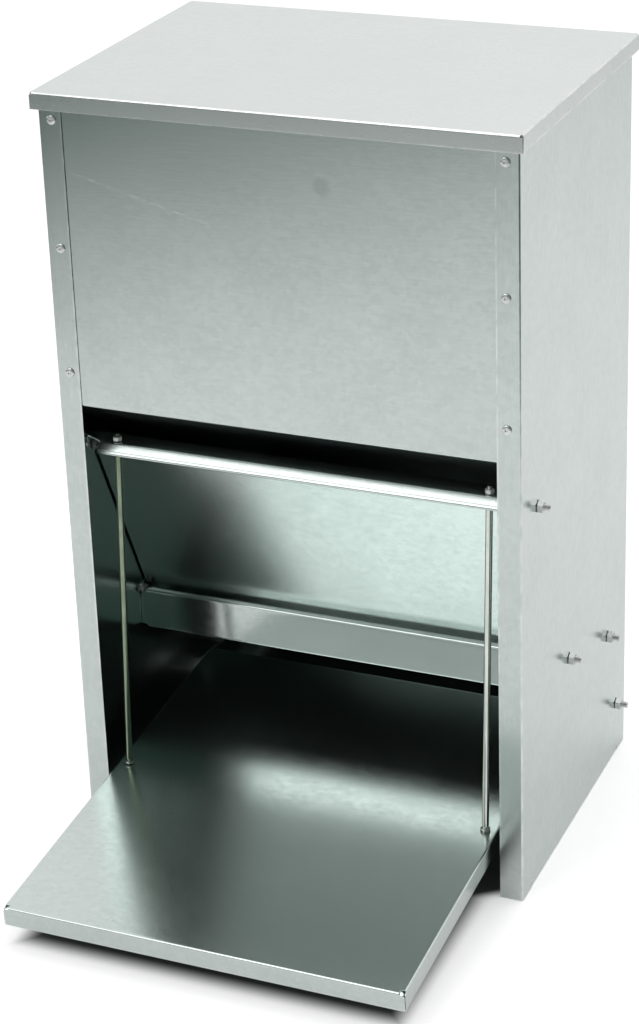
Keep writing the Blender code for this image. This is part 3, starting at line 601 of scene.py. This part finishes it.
def soften_edges(node):
    """A small round on every sheared edge, with smooth folds between flat faces."""
    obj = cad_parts[node]
    joined = obj.modifiers.new("joined corners", "NODES")
    joined.node_group = JOINED_CORNERS
    bevel = obj.modifiers.new("sheared edge", "BEVEL")
    bevel.width = EDGE_ROUND
    bevel.segments = 2
    bevel.limit_method = "ANGLE"
    bevel.angle_limit = math.radians(EDGE_ANGLE)
    weighted = obj.modifiers.new("flat faces", "WEIGHTED_NORMAL")
    weighted.weight = 50
    weighted.keep_sharp = False


# Turned and threaded pieces

def mesh_piece(name, points, faces, material, body, node=None):
    """A finer piece that rides on a body, and stands for a CAD node where one is given."""
    mesh = bpy.data.meshes.new(name)
    mesh.from_pydata(points, [], faces)
    mesh.validate()
    mesh.materials.append(material)
    mesh.shade_smooth()
    mesh.set_sharp_from_angle(angle=math.radians(CREASE_ANGLE))
    piece = bpy.data.objects.new(name, mesh)
    bpy.context.scene.collection.objects.link(piece)
    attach(piece, body)
    if node is not None:
        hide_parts(node)


def ring_points(center, start, up, radius_at, sides):
    """Points round a ring, or its centre alone where it has no radius."""
    if radius_at is None:
        return [center]
    points = []
    for k in range(sides):
        angle = 2 * math.pi * k / sides
        spoke = start * math.cos(angle) + up * math.sin(angle)
        points.append(center + spoke * radius_at(angle))
    return points


def band_faces(lower, upper, sides):
    """Faces from one ring to the next. A ring of one point closes the surface."""
    faces = []
    for k in range(sides):
        n = (k + 1) % sides
        if len(lower) == 1:
            faces.append((lower[0], upper[n], upper[k]))
        elif len(upper) == 1:
            faces.append((lower[k], lower[n], upper[0]))
        else:
            faces.append((lower[k], lower[n], upper[n], upper[k]))
    return faces


def ringed_surface(rings, base, axis, start, sides):
    """Points and faces of a closed surface from rings of (height, radius function)."""
    axis, start = Vector(axis), Vector(start)
    up = axis.cross(start)
    points, faces, lower = [], [], None
    for height, radius_at in rings:
        around = ring_points(Vector(base) + axis * height, start, up, radius_at, sides)
        upper = range(len(points), len(points) + len(around))
        points += around
        if lower is not None:
            faces += band_faces(lower, upper, sides)
        lower = upper
    return points, faces


def round_ring(height, radius):
    return height, lambda angle: radius


def hexagon_ring(height, flats):
    def radius_at(angle):
        return flats / 2 / math.cos((angle % (math.pi / 3)) - math.pi / 6)
    return height, radius_at


def thread_rings(start, end, crest, thread):
    """Rings of a screw thread. Each ring follows the helix at its own height."""
    pitch, full_depth = thread
    rings = []
    steps = max(1, round((end - start) / pitch * THREAD_STEPS))
    for k in range(steps + 1):
        height = start + (end - start) * k / steps
        depth = full_depth * min(1.0, k / THREAD_STEPS,
                                 (steps - k) / THREAD_STEPS + THREAD_RUNOUT)

        def radius_at(angle, height=height, depth=depth):
            phase = (height / pitch - angle / (2 * math.pi)) % 1.0
            groove = (1.0 - abs(2.0 * phase - 1.0) - THREAD_CREST) / THREAD_FLANK
            return crest - depth * min(1.0, max(0.0, groove))
        rings.append((height, radius_at))
    return rings


def turned_ring(profile, base, axis, start, sides):
    """Points and faces of a ring from a closed profile of (height, radius) functions."""
    up = axis.cross(start)
    points = []
    for height_at, radius_at in profile:
        for k in range(sides):
            angle = 2 * math.pi * k / sides
            spoke = start * math.cos(angle) + up * math.sin(angle)
            points.append(base + spoke * radius_at(angle) + axis * height_at(angle))
    faces = []
    count = len(profile)
    for row in range(count):
        after = (row + 1) % count
        for k in range(sides):
            n = (k + 1) % sides
            faces.append((row * sides + k, row * sides + n,
                          after * sides + n, after * sides + k))
    return points, faces


def bolt_head_rings():
    """Rings of a button head, from the socket's floor over the dome to the underside."""
    floor_height = SOCKET_DEPTH - HEAD_HEIGHT
    rings = [(floor_height, None), hexagon_ring(floor_height, SOCKET_FLATS),
             hexagon_ring(SOCKET_EDGE - HEAD_HEIGHT, SOCKET_FLATS),
             round_ring(-HEAD_HEIGHT, SOCKET_MOUTH)]
    for k in range(DOME_STEPS + 1):
        swing = math.radians(DOME_START + DOME_SWING * k / DOME_STEPS)
        radius = DOME_MOUTH + (HEAD_RADIUS - DOME_MOUTH) * math.sin(swing)
        rings.append(round_ring(-HEAD_HEIGHT * math.cos(swing) * DOME_RISE - HEAD_RIM, radius))
    return rings + [round_ring(-HEAD_RIM, HEAD_RADIUS),
                    round_ring(0.0, HEAD_RADIUS - HEAD_RIM)]


def threaded_bolt(node):
    """A button head bolt with a hexagon socket. Its thread shows outside the wall."""
    low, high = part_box(node)
    side = 1.0 if high.x > 0.0 else -1.0
    y, z = (low.y + high.y) / 2, (low.z + high.z) / 2
    head_top, tip = (low.x, high.x) if side > 0 else (high.x, low.x)
    length = abs(tip - head_top) - HEAD_HEIGHT
    thread_start = max(SHORTEST_SHANK, length - BOLT_THREAD)
    rings = bolt_head_rings()
    rings += [round_ring(0.0, BOLT_RADIUS), round_ring(thread_start, BOLT_RADIUS)]
    rings += thread_rings(thread_start, length - PLAIN_END, BOLT_RADIUS, COARSE_THREAD)
    rings += [round_ring(length, BOLT_RADIUS - COARSE_THREAD[1]), (length, None)]
    base = (head_top + side * HEAD_HEIGHT, y, z)
    points, faces = ringed_surface(rings, base, (side, 0, 0), (0, 0, 1), BOLT_SIDES)
    mesh_piece(node + "_threaded", points, faces, BOLT_METAL,
               "cabinet", node)


def chamfered_nut(node, body, axis, flat_toward, size=M6_NUT):
    """A hexagon nut with turned chamfers on both faces and at both ends of its bore."""
    flats, height, bore = size
    face = flats / 2 * NUT_FACE
    slant = math.tan(math.radians(NUT_CHAMFER))

    def hexagon(angle):
        turn = (angle + math.pi / 6) % (math.pi / 3) - math.pi / 6
        return flats / 2 / math.cos(turn)

    profile = [
        (lambda a: NUT_EDGE, lambda a: bore), (lambda a: 0.0, lambda a: bore + NUT_EDGE),
        (lambda a: 0.0, lambda a: face), (lambda a: (hexagon(a) - face) * slant, hexagon),
        (lambda a: height - (hexagon(a) - face) * slant, hexagon),
        (lambda a: height, lambda a: face), (lambda a: height, lambda a: bore + NUT_EDGE),
        (lambda a: height - NUT_EDGE, lambda a: bore),
    ]
    axis = Vector(axis)
    low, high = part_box(node)
    base = (low + high) / 2 - axis * (height / 2)
    points, faces = turned_ring(profile, base, axis, Vector(flat_toward), NUT_SIDES)
    mesh_piece(node + "_chamfered", points, faces, FASTENER_METAL,
               body, node)


def pressed_collar(node):
    """The thin ring pressed on a rod above the treadle plate, with a rounded rim."""
    radius, height, bore = COLLAR_SIZE
    rim = height / 2
    bulge = rim * COLLAR_BULGE
    profile = [(lambda a: COLLAR_EDGE, lambda a: bore),
               (lambda a: 0.0, lambda a: bore + COLLAR_EDGE)]
    for degrees in range(-90, 91, 30):
        swing = math.radians(degrees)
        at = (rim + rim * math.sin(swing), radius - bulge + bulge * math.cos(swing))
        profile.append((lambda a, h=at[0]: h, lambda a, r=at[1]: r))
    profile += [(lambda a: height, lambda a: bore + COLLAR_EDGE),
                (lambda a: height - COLLAR_EDGE, lambda a: bore)]
    low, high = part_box(node)
    base = (low + high) / 2 - ROD_AXIS * (height / 2)
    points, faces = turned_ring(profile, base, ROD_AXIS, ROD_REAR, COLLAR_SIDES)
    mesh_piece(node + "_pressed", points, faces, COLLAR_METAL,
               "rods", node)


def rivet_head_rings():
    """Rings of a rivet's head, from the mandrel's broken end over the dome to its rim."""
    dish = DISH_RINGS[-1][1]
    rings = [(RIVET_CROWN - MANDREL_TOP, None)]
    rings += [round_ring(RIVET_CROWN - outward, radius) for outward, radius in MANDREL_RINGS]
    rings += [round_ring(inward, radius) for inward, radius in DISH_RINGS]
    for k in range(1, CROWN_STEPS + 1):
        swing = math.radians(90.0 * k / CROWN_STEPS)
        radius = dish + (RIVET_HEAD - dish) * math.sin(swing)
        rings.append(round_ring((RIVET_CROWN - CROWN_RIM) * (1.0 - math.cos(swing)), radius))
    return rings + [round_ring(RIVET_CROWN, RIVET_HEAD)]


def domed_rivet(node, inward):
    """A pop rivet: dome with the broken mandrel in its middle, and a bulb behind."""
    low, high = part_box(node)
    x, z = (low.x + high.x) / 2, (low.z + high.z) / 2
    outer, inner = (low.y, high.y) if inward > 0 else (high.y, low.y)
    length = abs(inner - outer)
    rings = rivet_head_rings()
    bulb_start = length - BULB_LENGTH
    rings += [round_ring(RIVET_CROWN, RIVET_RADIUS), round_ring(bulb_start, RIVET_RADIUS)]
    rings += [round_ring(bulb_start + along, radius) for along, radius in BULB_RINGS]
    rings += [round_ring(length, BULB_END), (length, None)]
    points, faces = ringed_surface(rings, (x, outer, z), (0, inward, 0), (1, 0, 0),
                                   RIVET_SIDES)
    mesh_piece(node + "_domed", points, faces, RIVET_METAL, "cabinet", node)


def threaded_rod(side):
    """A lift rod with rolled thread at its foot and on the thin neck at its top."""
    node = "lift_rod_" + side
    low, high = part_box(node)

    def reach(z):
        return (z - ROD_BOTTOM) / ROD_AXIS.z

    foot_y = ROD_FOOT[0] + ROD_AXIS.y * (ROD_BOTTOM - ROD_FOOT[1]) / ROD_AXIS.z
    base = ((low.x + high.x) / 2, foot_y, ROD_BOTTOM)
    shoulder, top = reach(ROD_SHOULDER), reach(ROD_TOP)
    rings = [(0.0, None), round_ring(0.0, ROD_RADIUS - COARSE_THREAD[1])]
    rings += thread_rings(PLAIN_END, ROD_LOW_THREAD, ROD_RADIUS, COARSE_THREAD)
    rings += [round_ring(ROD_LOW_THREAD + ROD_TAPER, ROD_PLAIN),
              round_ring(shoulder - ROD_TAPER, ROD_PLAIN),
              round_ring(shoulder, ROD_NECK), round_ring(shoulder + NECK_BARE, ROD_NECK)]
    rings += thread_rings(shoulder + NECK_THREAD_START, top - NECK_THREAD_END, ROD_NECK,
                          NECK_THREAD)
    rings += [round_ring(top, ROD_NECK - NECK_THREAD[1]), (top, None)]
    points, faces = ringed_surface(rings, base, ROD_AXIS, (1, 0, 0), BOLT_SIDES)
    mesh_piece(node + "_threaded", points, faces, ROD_METAL[side],
               "rods", node)


def corner_tab(side, material):
    """The curved tab folded in behind a front corner of the treadle, under its relief."""
    out = 1.0 if side == "right" else -1.0
    steps = TAB_STEPS
    row, sheet = steps + 1, (steps + 1) ** 2
    points = []
    for under in (0.0, TAB_SHEET):
        for i in range(row):
            for j in range(row):
                across, ahead = i / steps, j / steps
                drop = TAB_DROP * max(across, ahead) ** 3
                points.append((out * (TAB_START[0] + TAB_REACH * across),
                               TAB_START[1] - TAB_REACH * ahead,
                               TAB_START[2] - drop - under))
    faces = []
    for i in range(steps):
        for j in range(steps):
            k = i * row + j
            faces.append((k, k + 1, k + row + 1, k + row))
            faces.append((k + sheet, k + row + sheet, k + row + 1 + sheet, k + 1 + sheet))
    rim = ([i * row for i in range(steps)] + [steps * row + j for j in range(steps)]
           + [i * row + steps for i in range(steps, 0, -1)] + list(range(steps, 0, -1)))
    for k, n in zip(rim, rim[1:] + rim[:1]):
        faces.append((k, n, n + sheet, k + sheet))
    if out < 0:
        faces = [face[::-1] for face in faces]
    mesh_piece("treadle_corner_tab_" + side, points, faces, material,
               "treadle")


def dress_sheets():
    front_panel_finish()
    rear_panel_finish()
    trough_finish()
    flap_finish()
    treadle_zinc = treadle_finish()
    lid_finish()
    for side in ("left", "right"):
        side_panel_finish(side)
        corner_tab(side, treadle_zinc)
    for node in ("hopper_front_and_chute", "rear_panel", "feed_trough", "trough_flap",
                 "treadle", "lid", "side_panel_left", "side_panel_right"):
        soften_edges(node)


def dress_fasteners():
    for side in ("left", "right"):
        for place in ("flap_pivot", "trough_lip", "trough_rest", "treadle_pivot"):
            threaded_bolt(place + "_bolt_" + side)
            outward = (1, 0, 0) if side == "right" else (-1, 0, 0)
            turn = math.radians(NUT_TURNS[place])
            chamfered_nut(place + "_nut_" + side, "cabinet", outward,
                          (0.0, math.sin(turn), math.cos(turn)))
        chamfered_nut("rod_top_nut_" + side, "rods", ROD_AXIS, ROD_REAR, M4_NUT)
        chamfered_nut("rod_lower_nut_" + side, "rods", ROD_AXIS, ROD_REAR)
        pressed_collar("rod_collar_nut_" + side)
        for number in (1, 2, 3):
            domed_rivet("front_rivet_" + side + "_" + str(number), 1.0)
        for number in (1, 2, 3, 4):
            domed_rivet("rear_rivet_" + side + "_" + str(number), -1.0)
        threaded_rod(side)
        for node in ("flap_pivot_spacer_" + side, "treadle_pivot_sleeve_" + side):
            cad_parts[node].material_slots[0].material = SLEEVE_METAL


# Studio

def far_from_feeder(tree, place):
    """A mask of the floor in front that fades out in reflections."""
    sides = [fade(tree, vector_calc(tree, "DOT_PRODUCT", place, lean), start, end)
             for lean, start, end in (FAR_LEFT, FAR_RIGHT)]
    ahead, start, end = FAR_END
    before_end = fade(tree, vector_calc(tree, "DOT_PRODUCT", place, ahead), start, end,
                      1.0, 0.0)
    return calc(tree, "MULTIPLY", calc(tree, "MAXIMUM", *sides), before_end)


def lit_floor(tree, place):
    """A mask of the floor outside the shade under the feeder."""
    split = add_node(tree, "ShaderNodeSeparateXYZ")
    feed(tree, split.inputs[0], place)
    wider = fade(tree, split.outputs["Y"], *SHADE_WIDER)
    aside = calc(tree, "SUBTRACT", calc(tree, "ABSOLUTE", split.outputs["X"]), wider)
    ahead = calc(tree, "ABSOLUTE", split.outputs["Y"])
    return calc(tree, "MAXIMUM", *(
        fade(tree, away, half - SHADE_EDGE, half + SHADE_EDGE / 2)
        for away, half in zip((aside, ahead), SHADE_HALF)))


def floor_white():
    """White paint with a soft shade under the feeder. In the metal it fades out in front."""
    material = bpy.data.materials.new("studio floor white")
    material.use_nodes = True
    tree = material.node_tree
    shader = tree.nodes["Principled BSDF"]
    shader.inputs["Roughness"].default_value = 0.9
    shader.inputs["Specular IOR Level"].default_value = 0.0
    path = add_node(tree, "ShaderNodeLightPath").outputs
    place = add_node(tree, "ShaderNodeNewGeometry").outputs["Position"]
    reflected = path["Is Glossy Ray"]
    hidden = calc(tree, "MULTIPLY", far_from_feeder(tree, place), reflected)
    lit = lit_floor(tree, place)
    color = tint_between(tree, hidden, FLOOR_WHITE, FLOOR_FAR)
    feed(tree, shader.inputs["Base Color"], tint_between(tree, lit, SHADE_TINT, color))
    shader.inputs["Emission Color"].default_value = WHITE
    glow = calc(tree, "MULTIPLY_ADD", path["Is Camera Ray"], FLOOR_GLOW, calc(
        tree, "MULTIPLY", calc(tree, "SUBTRACT", reflected, hidden), FLOOR_REFLECTED_GLOW))
    feed(tree, shader.inputs["Emission Strength"], calc(tree, "MULTIPLY", glow, lit))
    return material


def studio_floor():
    mesh = bpy.data.meshes.new("studio_floor")
    h = FLOOR_HALF
    mesh.from_pydata([(-h, -h, FLOOR_Z), (h, -h, FLOOR_Z), (h, h, FLOOR_Z), (-h, h, FLOOR_Z)],
                     [], [(0, 1, 2, 3)])
    mesh.materials.append(floor_white())
    floor = bpy.data.objects.new("studio_floor", mesh)
    bpy.context.scene.collection.objects.link(floor)


def unlit_part(tree):
    """A mask of the unlit side and of the unlit strip in front, by direction."""
    toward = add_node(tree, "ShaderNodeTexCoord").outputs["Generated"]
    lean, start, end = UNLIT_SIDE
    side = fade(tree, vector_calc(tree, "DOT_PRODUCT", toward, lean), start, end)
    split = add_node(tree, "ShaderNodeSeparateXYZ")
    feed(tree, split.inputs[0], toward)
    low = calc(tree, "MULTIPLY", fade(tree, split.outputs["Z"], *UNLIT_TOP, 1.0, 0.0),
               fade(tree, split.outputs["Z"], *UNLIT_FOOT))
    ahead = fade(tree, split.outputs["Y"], *UNLIT_AHEAD, 1.0, 0.0)
    return calc(tree, "MAXIMUM", side, calc(tree, "MULTIPLY", low, ahead))


def studio_world():
    """White to the camera, white with unlit parts in reflections, and a soft fill."""
    world = bpy.data.worlds.new("studio")
    bpy.context.scene.world = world
    world.use_nodes = True
    tree = world.node_tree
    tree.nodes.clear()
    path = add_node(tree, "ShaderNodeLightPath").outputs
    seen = calc(tree, "MAXIMUM", path["Is Camera Ray"],
                calc(tree, "MAXIMUM", path["Is Glossy Ray"], path["Is Transmission Ray"]))
    fill = add_node(tree, "ShaderNodeBackground")
    fill.inputs["Color"].default_value = WHITE
    fill.inputs["Strength"].default_value = FILL_LIGHT
    unlit = calc(tree, "MULTIPLY", unlit_part(tree), path["Is Glossy Ray"])
    white = add_node(tree, "ShaderNodeBackground")
    feed(tree, white.inputs["Color"], tint_between(tree, unlit, WHITE, UNLIT_TINT))
    white.inputs["Strength"].default_value = 1.0
    mixed = add_node(tree, "ShaderNodeMixShader")
    feed(tree, mixed.inputs[0], seen)
    tree.links.new(fill.outputs[0], mixed.inputs[1])
    tree.links.new(white.outputs[0], mixed.inputs[2])
    output = add_node(tree, "ShaderNodeOutputWorld")
    tree.links.new(mixed.outputs[0], output.inputs["Surface"])


def softbox(name, place, size, power):
    lamp = bpy.data.lights.new(name, "AREA")
    lamp.shape = "RECTANGLE"
    lamp.size, lamp.size_y = size
    lamp.energy = power
    holder = bpy.data.objects.new(name, lamp)
    holder.location = place
    toward = Vector(LAMP_AIM) - Vector(place)
    holder.rotation_euler = toward.to_track_quat("-Z", "Y").to_euler()
    bpy.context.scene.collection.objects.link(holder)


def place_camera():
    """The optical axis meets the image above its middle, so the lens is shifted."""
    camera = bpy.data.cameras.new("camera")
    camera.sensor_width = SENSOR
    camera.lens = FOCAL_PIXELS * SENSOR / IMAGE_HEIGHT
    camera.shift_y = (STRAIGHT_AHEAD_ROW - IMAGE_HEIGHT / 2) / IMAGE_HEIGHT
    camera.clip_start = CLIP_NEAR
    camera.clip_end = CLIP_FAR
    back = Vector((math.sin(CAMERA_TURN) * math.cos(CAMERA_DIP),
                   -math.cos(CAMERA_TURN) * math.cos(CAMERA_DIP), math.sin(CAMERA_DIP)))
    level = Vector((0, 0, 1)).cross(back).normalized()
    up = back.cross(level)
    right = level * math.cos(CAMERA_ROLL) + up * math.sin(CAMERA_ROLL)
    top = up * math.cos(CAMERA_ROLL) - level * math.sin(CAMERA_ROLL)
    holder = bpy.data.objects.new("camera", camera)
    turned = Matrix((right, top, back)).transposed()
    holder.matrix_world = Matrix.Translation(CAMERA_PLACE) @ turned.to_4x4()
    bpy.context.scene.collection.objects.link(holder)
    bpy.context.scene.camera = holder


place_camera()
dress_sheets()
dress_fasteners()
studio_floor()
studio_world()
softbox("front left softbox", *FRONT_SOFTBOX)
softbox("top softbox", *TOP_SOFTBOX)
bpy.context.scene.view_settings.view_transform = "Standard"
